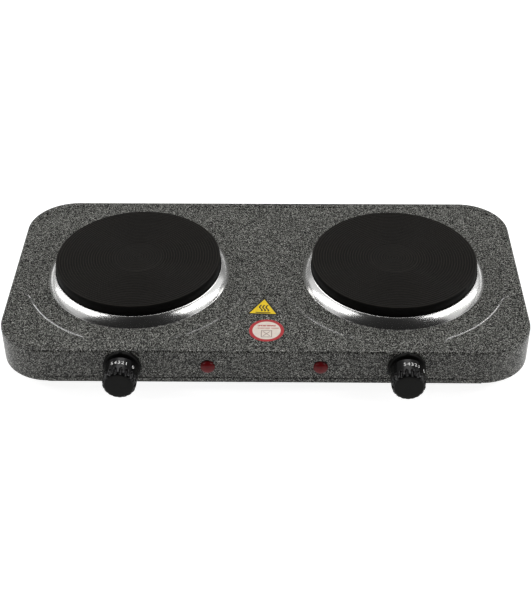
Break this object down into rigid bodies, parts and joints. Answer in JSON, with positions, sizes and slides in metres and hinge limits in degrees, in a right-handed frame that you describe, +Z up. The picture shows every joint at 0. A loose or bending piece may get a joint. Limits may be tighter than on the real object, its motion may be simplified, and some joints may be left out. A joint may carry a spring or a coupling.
{
  "type": "hot plate burner",
  "caption": "Countertop electric hot plate with solid round iron burners in steel trim rings on a speckled sheet-steel housing, turned by fluted front knobs.",
  "frame": {"origin": "middle of the whole footprint, on the bench under the feet", "axes": "+Z up, -Y towards the front with the knobs, +X to the right as seen from the front"},
  "size_m": [0.4842, 0.276, 0.0655],
  "materials": {
    "speckled_enamel": "baked dark grey enamel with fine pale and black specks",
    "galvanised_sheet": "galvanised sheet",
    "zinc_screw": "bright zinc plating",
    "black_rubber": "matt black rubber",
    "cast_iron": "turned cast iron under heat-proof black coating",
    "stainless_trim": "polished stainless steel",
    "heating_wire": "oxidised nickel-chrome",
    "white_ceramic": "unglazed",
    "galvanised_cover": "aluminised sheet",
    "clamp_steel": "mill finish strip",
    "zinc_fastener": "bright zinc plating",
    "thermostat_ceramic": "glazed ceramic",
    "contact_brass": "stamped brass",
    "bezel_screw": "zinc plating",
    "bezel_plastic": "moulded black plastic",
    "spindle_steel": "turned steel",
    "knob_plastic": "moulded black heat-proof plastic with white figures",
    "red_lens": "dark red translucent plastic",
    "neon_glass": "clear glass",
    "block_ceramic": "glazed ceramic",
    "eyelet_tin": "tinned copper",
    "sleeve_brown": "woven glass sleeve",
    "sleeve_white": "woven glass sleeve",
    "sleeve_blue": "woven glass sleeve",
    "sleeve_green": "green and yellow sleeve",
    "sleeve_lamp": "thin silicone sleeve",
    "hazard_foil": "printed yellow foil",
    "paper_foil": "printed white foil"
  },
  "bodies": {
    "housing": {"top_housing": "speckled_enamel", "base_plate": "speckled_enamel", "tab_front_left": "galvanised_sheet", "tab_front_right": "galvanised_sheet", "tab_rear_left": "galvanised_sheet", "tab_rear_right": "galvanised_sheet", "housing_screws": "zinc_screw", "foot_screws": "zinc_screw", "earth_screw": "zinc_screw", "block_screws": "zinc_screw", "way_screws": "zinc_screw", "foot_front_left": "black_rubber", "foot_front_right": "black_rubber", "foot_rear_left": "black_rubber", "foot_rear_right": "black_rubber", "cord_bush": "black_rubber", "hotplate_left": "cast_iron", "trim_ring_left": "stainless_trim", "heating_coil_left": "heating_wire", "insulation_left": "white_ceramic", "pin_strip_left": "white_ceramic", "coil_cover_left": "galvanised_cover", "clamp_bar_left": "clamp_steel", "centre_stud_left": "zinc_fastener", "stud_nuts_left": "zinc_fastener", "thermostat_left": "thermostat_ceramic", "contact_blades_left": "contact_brass", "thermostat_screws_left": "bezel_screw", "knob_bezel_left": "bezel_plastic", "lamp_lens_left": "red_lens", "neon_bulb_left": "neon_glass", "hotplate_right": "cast_iron", "trim_ring_right": "stainless_trim", "heating_coil_right": "heating_wire", "insulation_right": "white_ceramic", "pin_strip_right": "white_ceramic", "coil_cover_right": "galvanised_cover", "clamp_bar_right": "clamp_steel", "centre_stud_right": "zinc_fastener", "stud_nuts_right": "zinc_fastener", "thermostat_right": "thermostat_ceramic", "contact_blades_right": "contact_brass", "thermostat_screws_right": "bezel_screw", "knob_bezel_right": "bezel_plastic", "lamp_lens_right": "red_lens", "neon_bulb_right": "neon_glass", "terminal_block": "block_ceramic", "earth_eyelet": "eyelet_tin", "live_leads": "sleeve_brown", "load_leads": "sleeve_white", "neutral_leads": "sleeve_blue", "earth_lead": "sleeve_green", "lamp_leads": "sleeve_lamp", "hazard_label": "hazard_foil", "round_label": "paper_foil"},
    "control_left": {"knob_left": "knob_plastic", "spindle_left": "spindle_steel"},
    "control_right": {"knob_right": "knob_plastic", "spindle_right": "spindle_steel"}
  },
  "joints": [
    {"name": "knob_left_turn", "type": "hinge", "parent": "housing", "child": "control_left", "pos_m": [-0.127, -0.11, 0.03], "axis": [0, 1, 0], "range_deg": [0, 270]},
    {"name": "knob_right_turn", "type": "hinge", "parent": "housing", "child": "control_right", "pos_m": [0.127, -0.11, 0.03], "axis": [0, 1, 0], "range_deg": [0, 270]}
  ]
}
